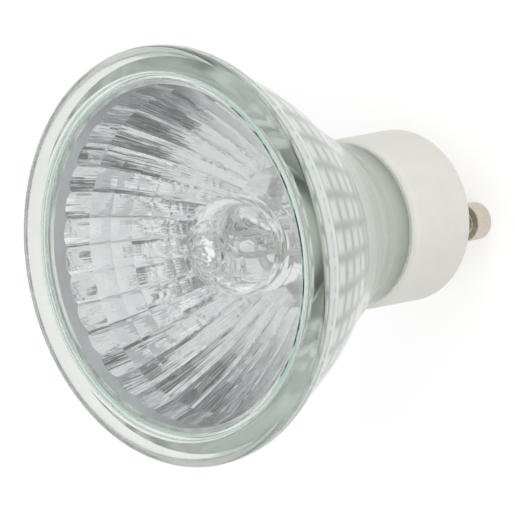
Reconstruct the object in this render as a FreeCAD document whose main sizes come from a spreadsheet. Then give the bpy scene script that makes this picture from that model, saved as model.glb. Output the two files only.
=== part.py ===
import FreeCAD, Part
import math
import os
import re
from FreeCAD import Placement, Rotation, Vector
from Sketcher import Constraint

# A twist-lock mains reflector lamp that stands on its two pins, with its face up.
# The origin is on the lamp's axis, level with the pin ends.
# +Z runs to the face, and X through both pins.

# Driving dimensions in millimetres, with what each one measures
SIZES = (
    ("cap_base", 7.2, "pin ends to the ceramic's flat back"),
    ("cap_height", 13.4, "ceramic's back to its lip"),
    ("cap_floor", 5.3, "thickness of the ceramic's floor"),
    ("cap_wall", 1.45, "ceramic's wall at its widest"),
    ("cap_draft", 0.2, "taper of the ceramic cap towards the glass"),
    ("cap_lip_flat", 0.15, "flat inside the lip's rounding"),
    ("cap_bevel", 2.9, "bevel round the ceramic's back"),
    ("shoulder_gap", 0.15, "neck's shoulder above the ceramic's lip"),
    ("neck_length", 3.65, "neck's shoulder up to the crease between neck and bowl"),
    ("shoulder_width", 1.5, "how far the neck stands out over the glass plug"),
    ("neck_wall", 2.0, "wall of the glass plug"),
    ("capsule_gap", 0.9, "capsule to the bore through the neck"),
    ("plug_gap", 2.5, "glass plug above the ceramic's floor"),
    ("cement_gap", 0.6, "glass plug to the bore of the ceramic"),
    ("mirror_rise", 7.5, "crease up to the hole in the mirror"),
    ("throat_flare", 1.8, "how much wider the mirror's hole is than the neck's bore"),
    ("throat_length", 3.4, "taper from the mirror's hole down to the neck's bore"),
    ("focal_length", 5.25, "parabola of the mirror"),
    ("first_row_height", 5.244, "end of the parabola up to the front glass's seat"),
    ("first_row_slope", 0.29, "radius gained per height in the first row of facets"),
    ("mirror_step", 0.85, "end of the parabola inside the edge of the seat"),
    ("facet_columns", 36, "flutes round the mirror"),
    ("facet_rows", 8, "rows of facets on the parabola"),
    ("bowl_end_mirror", 13.4, "mirror's radius where the bowl's outer curve turns straight"),
    ("bowl_wall", 3.5, "level thickness of the glass there"),
    ("bowl_round", 47.0, "radius of the bowl's outer curve, in section"),
    ("cover_radius", 21.55, "flat front glass"),
    ("cover_thickness", 1.8, "flat front glass"),
    ("cover_edge", 0.25, "ground chamfer round the front glass"),
    ("cover_inset", 0.15, "front glass below the rim's face"),
    ("cover_clearance", 0.1, "front glass to the wall of its recess, at the seat"),
    ("recess_flare", 0.65, "how much wider the recess is at the face than at the seat"),
    ("seat_width", 0.95, "ledge that the front glass sits on"),
    ("band_draft", 0.1, "taper of the smooth band between ledge and facets"),
    ("rim_land", 3.05, "flat face of the rim with its rounding"),
    ("rim_face_round", 0.6, "rounding where the rim's side meets its face"),
    ("rim_side_depth", 1.4, "face of the rim down to the end of its straight side"),
    ("rim_depth", 3.1, "face of the rim down to the bowl's outer curve"),
    ("rim_lip", 1.4, "how far the rim stands out from the bowl below it"),
    ("rim_lip_round", 2.2, "radius of the curve under the rim"),
    ("capsule_radius", 6.3, "outside of the quartz capsule"),
    ("capsule_wall", 1.1, "quartz wall"),
    ("tip_clearance", 3.65, "capsule's tip to the front glass"),
    ("tip_height", 1.3, "tip above the dome"),
    ("tip_radius", 1.7, "sealed-off tip where it leaves the dome"),
    ("tip_end_radius", 0.9, "flat end of the sealed-off tip"),
    ("capsule_foot_gap", 2.5, "lower end of the glass plug up to the capsule's foot"),
    ("pinch_thickness", 4.0, "flat pressed end of the capsule"),
    ("shoulder_height", 4.6, "slope between pinch and tube"),
    ("gas_floor_rise", 2.7, "top of the flat pinch up to the gas space"),
    ("gas_floor_radius", 1.2, "flat bottom of the gas space"),
    ("gas_cone", 4.0, "height of the cone at the bottom of the gas space"),
    ("filament_headroom", 2.0, "coil's bend to the top of the gas space"),
    ("filament_leg", 1.6, "straight part of the coil below its bend"),
    ("filament_gap", 0.4, "coil above the cone of the gas space"),
    ("filament_radius", 0.5, "outside of the coil"),
    ("lead_spacing", 6.0, "between the two inner leads"),
    ("inner_lead_radius", 0.3, "tungsten lead"),
    ("hook_wire_radius", 0.2, "wire that holds the coil's bend"),
    ("hook_clearance", 0.02, "hook to the coil"),
    ("hook_root", 2.0, "hook's stem below the gas space"),
    ("hook_tail", 0.6, "hook's free end beside the coil"),
    ("foil_width", 3.4, "molybdenum foil"),
    ("foil_thickness", 0.06, "molybdenum foil"),
    ("foil_inset", 0.5, "foil below the top of the flat pinch"),
    ("foil_length", 8.0, "molybdenum foil"),
    ("foil_overlap", 1.0, "length of each lead that lies along the foil"),
    ("outer_lead_radius", 0.35, "nickel lead"),
    ("lead_straight", 0.7, "capsule's foot down to the lead's double bend"),
    ("lead_end", 1.1, "double bend down to the fuse wire"),
    ("fuse_radius", 0.15, "thin wire that melts first"),
    ("cement_inset", 0.3, "capsule's cement above the end of the glass plug"),
    ("cement_cover", 2.3, "capsule's foot inside its cement"),
    ("cap_cement_inset", 0.2, "cement below the ceramic's lip"),
    ("pin_spacing", 10.0, "between the axes of the pins"),
    ("pin_head_radius", 2.5, "head of the contact pin"),
    ("pin_head_length", 3.2, "head of the contact pin"),
    ("pin_end_round", 0.7, "rounding of the head's end"),
    ("pin_edge", 0.25, "chamfer on the head's upper edge"),
    ("pin_shank_radius", 1.5, "shank that goes through the ceramic"),
    ("pin_hole_clearance", 0.05, "shank to its hole in the ceramic"),
    ("pin_rivet_radius", 2.1, "collar spread over the ceramic's floor"),
    ("pin_rivet_height", 0.5, "collar spread over the ceramic's floor"),
    ("pin_bore_radius", 0.6, "bore for the lead"),
    ("pin_mouth_radius", 1.1, "countersink in the pin's end, filled by the weld"),
    ("pin_mouth_depth", 0.9, "countersink in the pin's end, filled by the weld"),
    ("weld_inset", 0.1, "weld below the pin's end"),
    ("joint_gap", 0.02, "film left between a filler and what it fills"),
)

DOC = FreeCAD.newDocument("ReflectorLamp")
SHEET = DOC.addObject("Spreadsheet::Sheet", "Sizes")
NAMES = {name for name, _, _ in SIZES}
ORIGIN_POINT = (-1, 1)
AXIS_INDEX = {"DistanceX": -2, "DistanceY": -1}
CENTRE_INDEX = 3
ON_AXIS = "0"
UNTURNED = Placement()
QUARTER_TURN = Placement(Vector(), Rotation(Vector(0, 0, 1), 90))
HALF_TURN = Placement(Vector(), Rotation(Vector(0, 0, 1), 180))
TURNS = {"left": HALF_TURN, "right": UNTURNED}
SIGNS = {"left": "-", "right": ""}


def fill_sheet():
    for row, (name, number, meaning) in enumerate(SIZES, start=1):
        SHEET.set(f"A{row}", name)
        SHEET.set(f"B{row}", str(number))
        SHEET.setAlias(f"B{row}", name)
        SHEET.set(f"C{row}", meaning)
    DOC.recompute()


def bound(formula):
    # Write the plain size names of a formula as references to the sheet
    return re.sub("[a-z_]+", lambda word: f"Sizes.{word[0]}" if word[0] in NAMES else word[0], formula)


def measure(formula):
    return float(SHEET.evalExpression(bound(formula)))


def plane_of(body, role):
    return next(plane for plane in body.Origin.OriginFeatures if plane.Role == role)


def new_sketch(body, name, role, height=None):
    sketch = body.newObject("Sketcher::SketchObject", name)
    sketch.AttachmentSupport = (plane_of(body, role), [""])
    sketch.MapMode = "FlatFace"
    if height is not None:
        sketch.setExpression("AttachmentOffset.Base.z", bound(height))
    return sketch


def set_radius(sketch, edge, formula):
    number = sketch.addConstraint(Constraint("Radius", edge, measure(formula)))
    sketch.setExpression(f"Constraints[{number}]", bound(formula))


def arc_centre(start, end, radius, side):
    chord = end - start
    reach = math.sqrt(radius ** 2 - (chord.Length / 2) ** 2)
    normal = Vector(-chord.y, chord.x, 0).normalize()
    return (start + end) / 2 + normal * (reach if side == "left" else -reach)


def add_edge(sketch, start, end, bend):
    # Returns the edge's number and which of its ends is its start along the outline
    if not bend:
        return sketch.addGeometry(Part.LineSegment(start, end)), 1, 2
    radius, side = measure(bend[0]), bend[1]
    centre = arc_centre(start, end, radius, side)
    first, last, ends = (start, end, (1, 2)) if side == "left" else (end, start, (2, 1))
    angles = [math.atan2(point.y - centre.y, point.x - centre.x) for point in (first, last)]
    circle = Part.Circle(centre, Vector(0, 0, 1), radius)
    edge = sketch.addGeometry(Part.ArcOfCircle(circle, angles[0], angles[1]))
    set_radius(sketch, edge, bend[0])
    return edge, ends[0], ends[1]


def hold_point(sketch, edge, end, formulas):
    # A point on one of the sketch's axes is held on it, and any other by its distance from the origin
    for (kind, axis), formula in zip(AXIS_INDEX.items(), formulas):
        if formula == ON_AXIS:
            sketch.addConstraint(Constraint("PointOnObject", edge, end, axis))
        else:
            distance = Constraint(kind, *ORIGIN_POINT, edge, end, measure(formula))
            number = sketch.addConstraint(distance)
            sketch.setExpression(f"Constraints[{number}]", bound(formula))


def draw_outline(sketch, corners, closed=True):
    # Each corner is (across, up), with (radius, side of the centre) added when an arc leaves it
    points = [Vector(measure(corner[0]), measure(corner[1]), 0) for corner in corners]
    count = len(corners) if closed else len(corners) - 1
    edges = []
    for index in range(count):
        target = (index + 1) % len(corners)
        edges.append(add_edge(sketch, points[index], points[target], corners[index][2:]))
    for index in range(count):
        edge, start, _ = edges[index]
        hold_point(sketch, edge, start, corners[index][:2])
        if closed or index:
            before, _, end = edges[index - 1]
            sketch.addConstraint(Constraint("Coincident", before, end, edge, start))
    if not closed:
        edge, _, end = edges[-1]
        hold_point(sketch, edge, end, corners[-1][:2])


def draw_circle(sketch, across, radius):
    # A circle on the sketch's X axis
    circle = Part.Circle(Vector(measure(across), 0, 0), Vector(0, 0, 1), measure(radius))
    edge = sketch.addGeometry(circle)
    set_radius(sketch, edge, radius)
    hold_point(sketch, edge, CENTRE_INDEX, (across, ON_AXIS))


def new_body(name, placement=UNTURNED):
    body = DOC.addObject("PartDesign::Body", name)
    body.Label = name
    body.Placement = placement
    return body


def turn(body, name, corners, feature="PartDesign::Revolution", role="XZ_Plane"):
    sketch = new_sketch(body, f"{name}_section", role)
    draw_outline(sketch, corners)
    turned = body.newObject(feature, name)
    turned.Profile = sketch
    turned.ReferenceAxis = (sketch, ["V_Axis"])
    turned.Angle = 360
    DOC.recompute()
    return turned


def draw_wire(body, name, route, radius):
    # A round wire along a route in the XZ plane, which starts upright
    path = new_sketch(body, f"{name}_route", "XZ_Plane")
    draw_outline(path, route, closed=False)
    section = new_sketch(body, f"{name}_section", "XY_Plane", route[0][1])
    draw_circle(section, route[0][0], radius)
    DOC.recompute()
    pipe = body.newObject("PartDesign::AdditivePipe", name)
    pipe.Profile = section
    pipe.Spine = path
    DOC.recompute()
    return body


def cut(label, base, tools):
    # Take the tools away one after another; the last cut is the finished piece
    for number, tool in enumerate(tools, start=1):
        result = DOC.addObject("Part::Cut", f"{label}_cut_{number}")
        result.Base = base
        result.Tool = tool
        base = result
    base.Label = label
    DOC.recompute()
    return base


# Radii that several pieces share, from the capsule outwards, as formulas of the driving dimensions
NECK_BORE = "(capsule_radius + capsule_gap)"
PLUG_RADIUS = f"({NECK_BORE} + neck_wall)"
NECK_RADIUS = f"({PLUG_RADIUS} + shoulder_width)"
CAP_BORE = f"({PLUG_RADIUS} + cement_gap)"
CAP_RADIUS = f"({CAP_BORE} + cap_wall)"
HOLE_RADIUS = f"({NECK_BORE} + throat_flare)"
RECESS_FLOOR = "(cover_radius + cover_clearance)"
RECESS_MOUTH = f"({RECESS_FLOOR} + recess_flare)"
RIM_RADIUS = f"({RECESS_MOUTH} + rim_land)"
SEAT_INNER = f"({RECESS_FLOOR} - seat_width)"
MIRROR_RADIUS = f"({SEAT_INNER} - mirror_step)"
GAS_RADIUS = "(capsule_radius - capsule_wall)"
LEAD_X = "(lead_spacing / 2)"
PIN_X = "(pin_spacing / 2)"

# Levels above the pin ends, first up through cap, neck and mirror to the face of the rim
FLOOR_TOP = "(cap_base + cap_floor)"
RIVET_TOP = f"({FLOOR_TOP} + pin_rivet_height)"
CAP_TOP = "(cap_base + cap_height)"
NECK_SHOULDER = f"({CAP_TOP} + shoulder_gap)"
CREASE = f"({NECK_SHOULDER} + neck_length)"
PLUG_FOOT = f"({FLOOR_TOP} + plug_gap)"
MIRROR_HOLE = f"({CREASE} + mirror_rise)"
MIRROR_VERTEX = f"({MIRROR_HOLE} - {HOLE_RADIUS} ^ 2 / (4 * focal_length))"
MIRROR_EDGE = f"({MIRROR_VERTEX} + {MIRROR_RADIUS} ^ 2 / (4 * focal_length))"
BOWL_END = f"({MIRROR_VERTEX} + bowl_end_mirror ^ 2 / (4 * focal_length))"
SEAT = f"({MIRROR_EDGE} + first_row_height)"
COVER_TOP = f"({SEAT} + cover_thickness)"
FACE = f"({COVER_TOP} + cover_inset)"

# Levels of the capsule, from its tip down, and of the leads below it
TIP_TOP = f"({SEAT} - tip_clearance)"
CAPSULE_TOP = f"({TIP_TOP} - tip_height)"
DOME_CENTRE = f"({CAPSULE_TOP} - capsule_radius)"
TIP_FOOT = f"({DOME_CENTRE} + sqrt(capsule_radius ^ 2 - tip_radius ^ 2))"
GAS_TOP = f"({CAPSULE_TOP} - capsule_wall)"
COIL_BEND = f"({GAS_TOP} - filament_headroom - filament_radius - {LEAD_X})"
COIL_FOOT = f"({COIL_BEND} - filament_leg)"
GAS_SLOPE = f"(gas_cone / ({GAS_RADIUS} - gas_floor_radius))"
COIL_REACH = f"({LEAD_X} + filament_radius - gas_floor_radius)"
GAS_FLOOR = f"({COIL_FOOT} - filament_gap - {GAS_SLOPE} * {COIL_REACH})"
PINCH_TOP = f"({GAS_FLOOR} - gas_floor_rise)"
FOIL_TOP = f"({PINCH_TOP} - foil_inset)"
FOIL_FOOT = f"({FOIL_TOP} - foil_length)"
CAPSULE_FOOT = f"({PLUG_FOOT} + capsule_foot_gap)"
BEND_TOP = f"({CAPSULE_FOOT} - lead_straight)"
FUSE_TOP = f"({RIVET_TOP} - lead_end)"


def make_reflector_blank():
    # Pressed glass: rim with its recess, bowl, neck and plug, still solid where the mirror will be
    blank = new_body("reflector_blank")
    turn(blank, "pressed_glass", (
        (NECK_BORE, PLUG_FOOT),
        (PLUG_RADIUS, PLUG_FOOT),
        (PLUG_RADIUS, NECK_SHOULDER),
        (NECK_RADIUS, NECK_SHOULDER),
        (NECK_RADIUS, CREASE),
        ("bowl_end_mirror + bowl_wall", BOWL_END, "bowl_round", "left"),
        (f"{RIM_RADIUS} - rim_lip", f"{FACE} - rim_depth", "rim_lip_round", "left"),
        (RIM_RADIUS, f"{FACE} - rim_side_depth"),
        (RIM_RADIUS, f"{FACE} - rim_face_round", "rim_face_round", "left"),
        (f"{RIM_RADIUS} - rim_face_round", FACE),
        (RECESS_MOUTH, FACE),
        (RECESS_FLOOR, SEAT),
        (HOLE_RADIUS, SEAT),
        (HOLE_RADIUS, MIRROR_HOLE),
        (NECK_BORE, f"{MIRROR_HOLE} - throat_length"),
    ))
    return blank


def facet_rings():
    # Radius and height of each ring of facet corners, from the hole up, and on past the seat
    hole = measure(HOLE_RADIUS)
    edge = measure(MIRROR_RADIUS)
    rows = int(measure("facet_rows"))
    rings = []
    for row in range(rows + 1):
        radius = hole + (edge - hole) * row / rows
        rings.append((radius, measure(MIRROR_VERTEX) + radius ** 2 / (4 * measure("focal_length"))))
    face = measure(FACE)
    rings.append((edge + measure("first_row_slope") * (face - rings[-1][1]), face))
    return rings


def flat_face(points):
    return Part.Face(Part.makePolygon(points + points[:1]))


def make_facet_stack():
    # The space inside the mirror: rings of flat facets, one column for each flute
    columns = int(measure("facet_columns"))
    rings = []
    for radius, height in facet_rings():
        turns = [2 * math.pi * column / columns for column in range(columns)]
        rings.append([Vector(radius * math.cos(a), radius * math.sin(a), height) for a in turns])
    faces = [flat_face(rings[0][::-1]), flat_face(rings[-1])]
    for lower, upper in zip(rings, rings[1:]):
        for column in range(columns):
            after = (column + 1) % columns
            faces.append(flat_face([lower[column], lower[after], upper[after], upper[column]]))
    stack = DOC.addObject("Part::Feature", "facet_stack")
    stack.Shape = Part.makeSolid(Part.makeShell(faces))
    stack.Placement = UNTURNED
    return stack


def make_reflector():
    # Where the smooth band is narrower than the facets, it cuts them off in scallops
    band = DOC.addObject("Part::Cone", "smooth_band")
    band.setExpression("Radius1", bound(f"{SEAT_INNER} - band_draft"))
    band.setExpression("Radius2", bound(SEAT_INNER))
    band.setExpression("Height", bound(f"{FACE} - {MIRROR_HOLE}"))
    band.setExpression("Placement.Base.z", bound(MIRROR_HOLE))
    bowl_space = DOC.addObject("Part::MultiCommon", "bowl_space")
    bowl_space.Shapes = [make_facet_stack(), band]
    return cut("reflector", make_reflector_blank(), [bowl_space])


def make_cover_glass():
    body = new_body("cover_glass")
    turn(body, "disc", (
        (ON_AXIS, SEAT),
        ("cover_radius - cover_edge", SEAT),
        ("cover_radius", f"{SEAT} + cover_edge"),
        ("cover_radius", f"{COVER_TOP} - cover_edge"),
        ("cover_radius - cover_edge", COVER_TOP),
        (ON_AXIS, COVER_TOP),
    ))
    return body


def make_cover_seal():
    # Bead of adhesive in the wedge between the front glass and its recess
    body = new_body("cover_seal")
    foot = f"{SEAT} + cover_edge"
    inner = "cover_radius + joint_gap"
    wall_slope = "recess_flare / (cover_inset + cover_thickness)"
    turn(body, "bead", (
        (inner, foot),
        (f"{RECESS_FLOOR} - joint_gap + {wall_slope} * cover_edge", foot),
        (f"{RECESS_FLOOR} - joint_gap + {wall_slope} * cover_thickness", COVER_TOP),
        (inner, COVER_TOP),
    ))
    return body


def make_capsule_blank():
    blank = new_body("capsule_blank")
    turn(blank, "quartz_tube", (
        (ON_AXIS, CAPSULE_FOOT),
        ("capsule_radius", CAPSULE_FOOT),
        ("capsule_radius", DOME_CENTRE, "capsule_radius", "left"),
        ("tip_radius", TIP_FOOT),
        ("tip_end_radius", TIP_TOP),
        (ON_AXIS, TIP_TOP),
    ))
    # The tube is squeezed flat below the gas space
    sketch = new_sketch(blank, "pressed_sides", "YZ_Plane")
    for sign in ("", "-"):
        draw_outline(sketch, (
            (f"{sign}pinch_thickness / 2", f"{CAPSULE_FOOT} - capsule_wall"),
            (f"{sign}pinch_thickness / 2", PINCH_TOP),
            (f"{sign}(capsule_radius + capsule_wall)", f"{PINCH_TOP} + shoulder_height"),
            (f"{sign}(capsule_radius + capsule_wall)", f"{CAPSULE_FOOT} - capsule_wall"),
        ))
    press = blank.newObject("PartDesign::Pocket", "press")
    press.Profile = sketch
    press.Type = "ThroughAll"
    press.SideType = "Two sides"
    press.Type2 = "ThroughAll"
    DOC.recompute()
    turn(blank, "gas_space", (
        (ON_AXIS, GAS_FLOOR),
        ("gas_floor_radius", GAS_FLOOR),
        (GAS_RADIUS, f"{GAS_FLOOR} + gas_cone"),
        (GAS_RADIUS, DOME_CENTRE, GAS_RADIUS, "left"),
        (ON_AXIS, GAS_TOP),
    ), feature="PartDesign::Groove")
    return blank


def make_inner_lead(side):
    body = new_body(f"inner_lead_{side}", TURNS[side])
    return draw_wire(body, f"lead_{side}", (
        (LEAD_X, f"{FOIL_TOP} - foil_overlap"),
        (LEAD_X, COIL_FOOT),
    ), "inner_lead_radius")


def make_foil(side):
    # The foil lies against the side of both leads
    body = new_body(f"seal_foil_{side}", TURNS[side])
    sketch = new_sketch(body, f"foil_{side}_outline", "XY_Plane", FOIL_FOOT)
    near = "-max(inner_lead_radius; outer_lead_radius) - joint_gap"
    far = f"{near} - foil_thickness"
    draw_outline(sketch, (
        (f"{LEAD_X} - foil_width / 2", far),
        (f"{LEAD_X} + foil_width / 2", far),
        (f"{LEAD_X} + foil_width / 2", near),
        (f"{LEAD_X} - foil_width / 2", near),
    ))
    pad = body.newObject("PartDesign::Pad", f"foil_{side}")
    pad.Profile = sketch
    pad.setExpression("Length", bound("foil_length"))
    DOC.recompute()
    return body


def make_outer_lead(side, foot):
    # Two equal arcs carry the lead from the foil's spacing out to the pin's spacing
    body = new_body(f"outer_lead_{side}", TURNS[side])
    shift = f"({PIN_X} - {LEAD_X})"
    bend = f"({shift} ^ 2 + ({BEND_TOP} - {RIVET_TOP}) ^ 2) / (4 * {shift})"
    return draw_wire(body, f"strip_{side}", (
        (LEAD_X, f"{FOIL_FOOT} + foil_overlap"),
        (LEAD_X, BEND_TOP, bend, "left"),
        (f"({LEAD_X} + {PIN_X}) / 2", f"({BEND_TOP} + {RIVET_TOP}) / 2", bend, "right"),
        (PIN_X, RIVET_TOP),
        (PIN_X, foot),
    ), "outer_lead_radius")


def make_fuse():
    body = new_body("fuse_wire")
    return draw_wire(body, "fuse", (
        (PIN_X, "pin_mouth_depth"),
        (PIN_X, FUSE_TOP),
    ), "fuse_radius")


def make_filament():
    # The coil's outer shape: two legs and a half-round bend over the hook
    body = new_body("filament")
    return draw_wire(body, "coil", (
        (LEAD_X, COIL_FOOT),
        (LEAD_X, COIL_BEND, LEAD_X, "left"),
        (ON_AXIS, f"{COIL_BEND} + {LEAD_X}", LEAD_X, "left"),
        (f"-{LEAD_X}", COIL_BEND),
        (f"-{LEAD_X}", COIL_FOOT),
    ), "filament_radius")


def make_filament_support():
    # A wire hook: its stem stands in the pinch, and its bend lies over the top of the coil
    body = new_body("filament_support", QUARTER_TURN)
    bend = "(filament_radius + hook_clearance + hook_wire_radius)"
    bend_foot = f"({COIL_BEND} + {LEAD_X})"
    return draw_wire(body, "hook", (
        (bend, f"{GAS_FLOOR} - hook_root"),
        (bend, bend_foot, bend, "left"),
        (ON_AXIS, f"{bend_foot} + {bend}", bend, "left"),
        (f"-{bend}", bend_foot),
        (f"-{bend}", f"{bend_foot} - hook_tail"),
    ), "hook_wire_radius")


def make_capsule_cement(capsule_blank, leads):
    # Cement holds the pinch in the neck bore, so it has the pinch and the leads as its hollow
    body = new_body("cement_disc")
    foot = f"{PLUG_FOOT} + cement_inset"
    top = f"{CAPSULE_FOOT} + cement_cover"
    turn(body, "neck_filling", (
        (ON_AXIS, foot),
        (f"{NECK_BORE} - joint_gap", foot),
        (f"{NECK_BORE} - joint_gap", top),
        (ON_AXIS, top),
    ))
    return cut("capsule_cement", body, [capsule_blank] + leads)


def make_ceramic_cap():
    body = new_body("ceramic_cap")
    lip_round = "(cap_wall - cap_draft - cap_lip_flat)"
    turn(body, "fired_cap", (
        (ON_AXIS, "cap_base"),
        (f"{CAP_RADIUS} - cap_bevel", "cap_base"),
        (CAP_RADIUS, "cap_base + cap_bevel"),
        (f"{CAP_RADIUS} - cap_draft", f"{CAP_TOP} - {lip_round}", lip_round, "left"),
        (f"{CAP_BORE} + cap_lip_flat", CAP_TOP),
        (CAP_BORE, CAP_TOP),
        (CAP_BORE, FLOOR_TOP),
        (ON_AXIS, FLOOR_TOP),
    ))
    sketch = new_sketch(body, "pin_holes_outline", "XY_Plane", FLOOR_TOP)
    for sign in SIGNS.values():
        draw_circle(sketch, f"{sign}{PIN_X}", "pin_shank_radius + pin_hole_clearance")
    holes = body.newObject("PartDesign::Pocket", "pin_holes")
    holes.Profile = sketch
    holes.Type = "ThroughAll"
    DOC.recompute()
    return body


def make_cap_cement():
    body = new_body("cap_cement")
    inner = f"{PLUG_RADIUS} + joint_gap"
    outer = f"{CAP_BORE} - joint_gap"
    top = f"{CAP_TOP} - cap_cement_inset"
    turn(body, "ring", (
        (inner, PLUG_FOOT),
        (outer, PLUG_FOOT),
        (outer, top),
        (inner, top),
    ))
    return body


def new_pin_body(name, side):
    # A body whose own axis is that of the pin on the given side
    body = new_body(f"{name}_{side}")
    body.setExpression("Placement.Base.x", bound(f"{SIGNS[side]}{PIN_X}"))
    return body


def make_contact_pin(side):
    # Turned pin with a hollow shank, its upper end spread over the ceramic's floor
    body = new_pin_body("contact_pin", side)
    turn(body, f"pin_{side}", (
        ("pin_mouth_radius", ON_AXIS),
        ("pin_head_radius - pin_end_round", ON_AXIS, "pin_end_round", "left"),
        ("pin_head_radius", "pin_end_round"),
        ("pin_head_radius", "pin_head_length - pin_edge"),
        ("pin_head_radius - pin_edge", "pin_head_length"),
        ("pin_shank_radius", "pin_head_length"),
        ("pin_shank_radius", FLOOR_TOP),
        ("pin_rivet_radius", FLOOR_TOP),
        ("pin_rivet_radius", RIVET_TOP),
        ("pin_bore_radius", RIVET_TOP),
        ("pin_bore_radius", "pin_mouth_depth"),
    ))
    return body


def make_pin_weld(side):
    # Melted metal that fills the countersink in the pin's end and holds the lead
    body = new_pin_body("pin_weld", side)
    mouth_slope = "(pin_mouth_radius - pin_bore_radius) / pin_mouth_depth"
    turn(body, f"weld_{side}", (
        (ON_AXIS, "weld_inset"),
        (f"pin_mouth_radius - joint_gap - {mouth_slope} * weld_inset", "weld_inset"),
        ("pin_bore_radius - joint_gap", "pin_mouth_depth"),
        (ON_AXIS, "pin_mouth_depth"),
    ))
    return body


def check_model():
    for item in DOC.Objects:
        if {"Invalid", "Error"} & set(item.State):
            raise RuntimeError(f"{item.Label} failed: {item.State}")


def write_pieces(pieces):
    os.makedirs("parts", exist_ok=True)
    for piece in pieces:
        if piece.Shape.isNull() or not piece.Shape.isValid():
            raise RuntimeError(f"{piece.Label} has no valid shape")
        piece.Shape.exportStep(f"parts/{piece.Label}.step")
        solids = len(piece.Shape.Solids)
        print(f"{piece.Label}: {solids} solid, {piece.Shape.Volume:.2f} cubic mm")


def build_lamp():
    fill_sheet()
    inner_leads = [make_inner_lead(side) for side in TURNS]
    foils = [make_foil(side) for side in TURNS]
    outer_leads = [make_outer_lead("left", "pin_mouth_depth"), make_outer_lead("right", FUSE_TOP)]
    support = make_filament_support()
    capsule_blank = make_capsule_blank()
    sealed_in = inner_leads + foils + outer_leads + [support]
    pieces = inner_leads + foils + outer_leads + [support, make_fuse(), make_filament()]
    pieces.append(cut("quartz_capsule", capsule_blank, sealed_in))
    pieces.append(make_capsule_cement(capsule_blank, outer_leads))
    pieces += [make_reflector(), make_cover_glass(), make_cover_seal()]
    pieces += [make_ceramic_cap(), make_cap_cement()]
    for side in TURNS:
        pieces += [make_contact_pin(side), make_pin_weld(side)]
    DOC.recompute()
    check_model()
    write_pieces(pieces)


build_lamp()
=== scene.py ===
# %% [markdown]
# # A faceted reflector lamp
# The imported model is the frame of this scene: it fixes every size and every place. Almost everything
# that the eye meets on this lamp is glass, or a mirror behind glass, so the work here goes into clean
# surfaces, small tiles and the studio that they reflect.

# %% Load the frame
import math

import bpy
import numpy as np
from mathutils import Matrix, Vector, noise


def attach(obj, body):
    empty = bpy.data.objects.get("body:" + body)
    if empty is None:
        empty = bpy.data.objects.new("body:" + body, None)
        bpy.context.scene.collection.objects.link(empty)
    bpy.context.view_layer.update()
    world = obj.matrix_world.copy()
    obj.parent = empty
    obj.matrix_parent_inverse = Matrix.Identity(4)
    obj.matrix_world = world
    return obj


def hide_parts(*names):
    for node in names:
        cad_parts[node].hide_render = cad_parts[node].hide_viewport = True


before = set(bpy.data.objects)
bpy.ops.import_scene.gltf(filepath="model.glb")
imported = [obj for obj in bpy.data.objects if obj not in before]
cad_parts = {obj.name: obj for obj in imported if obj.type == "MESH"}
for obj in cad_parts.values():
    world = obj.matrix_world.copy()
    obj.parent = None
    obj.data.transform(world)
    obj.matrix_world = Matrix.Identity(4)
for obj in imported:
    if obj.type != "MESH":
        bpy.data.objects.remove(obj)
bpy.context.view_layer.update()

MM = 0.001
scene = bpy.context.scene

# %% [markdown]
# ## Camera
# The photograph looks down into the bowl from a little over half a right angle off the lamp's axis,
# through a long lens, and the picture is rolled. The camera is given by its seat and its three axes.

# %% Camera
CAMERA_SEAT = Vector((203.6, 116.7, 287.9)) * MM
CAMERA_RIGHT = Vector((0.712, 0.1995, -0.6732))
CAMERA_UP = Vector((-0.378, 0.9171, -0.1281))
CAMERA_BACK = Vector((0.592, 0.3457, 0.7283))

camera_data = bpy.data.cameras.new("camera")
camera_data.lens = 194.5
camera_data.sensor_width = 36.0
camera_data.clip_start = 10 * MM
camera_data.clip_end = 20.0
camera = bpy.data.objects.new("camera", camera_data)
scene.collection.objects.link(camera)
axes = Matrix((CAMERA_RIGHT, CAMERA_UP, CAMERA_BACK)).transposed()
camera.matrix_world = Matrix.Translation(CAMERA_SEAT) @ axes.to_4x4()
scene.camera = camera
print("camera is", round(CAMERA_SEAT.length / MM), "mm from the origin")

# %% [markdown]
# ## Helpers for node trees
# Shader and geometry trees are both built from nodes and links. One helper places a node and fills
# its inputs, with a plain value or with a link, and a second one does arithmetic.

# %% Place nodes
def place(tree, kind, values=None, **settings):
    node = tree.nodes.new(kind)
    for name, setting in settings.items():
        setattr(node, name, setting)
    for name, value in (values or {}).items():
        socket = node.inputs[name]
        if isinstance(value, bpy.types.NodeSocket):
            tree.links.new(value, socket)
        else:
            socket.default_value = value
    return node


def calc(tree, operation, *values):
    return place(tree, "ShaderNodeMath", dict(enumerate(values)), operation=operation).outputs[0]


def new_tree(name, kind, inputs, outputs):
    # An input is given by its plain value, and where it has none, as an output is, by its kind
    tree = bpy.data.node_groups.new(name, kind)
    for title, value in inputs.items():
        is_plain = not isinstance(value, str)
        socket_kind = type(value).__name__.capitalize() if is_plain else value
        socket = tree.interface.new_socket(title, in_out="INPUT", socket_type=f"NodeSocket{socket_kind}")
        if is_plain:
            socket.default_value = value
    for title, socket_kind in outputs.items():
        tree.interface.new_socket(title, in_out="OUTPUT", socket_type=f"NodeSocket{socket_kind}")
    return tree, tree.nodes.new("NodeGroupInput").outputs, tree.nodes.new("NodeGroupOutput").inputs


# %% [markdown]
# ## Surface effects that several finishes share
# Glass from a mould, fired clay and cement all vary a little from place to place. The first group
# gives a soft patchy mask and a bumped normal. The second gives the fine rings of turned metal. Both
# are built once, and each finish places them with its own values.

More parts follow.
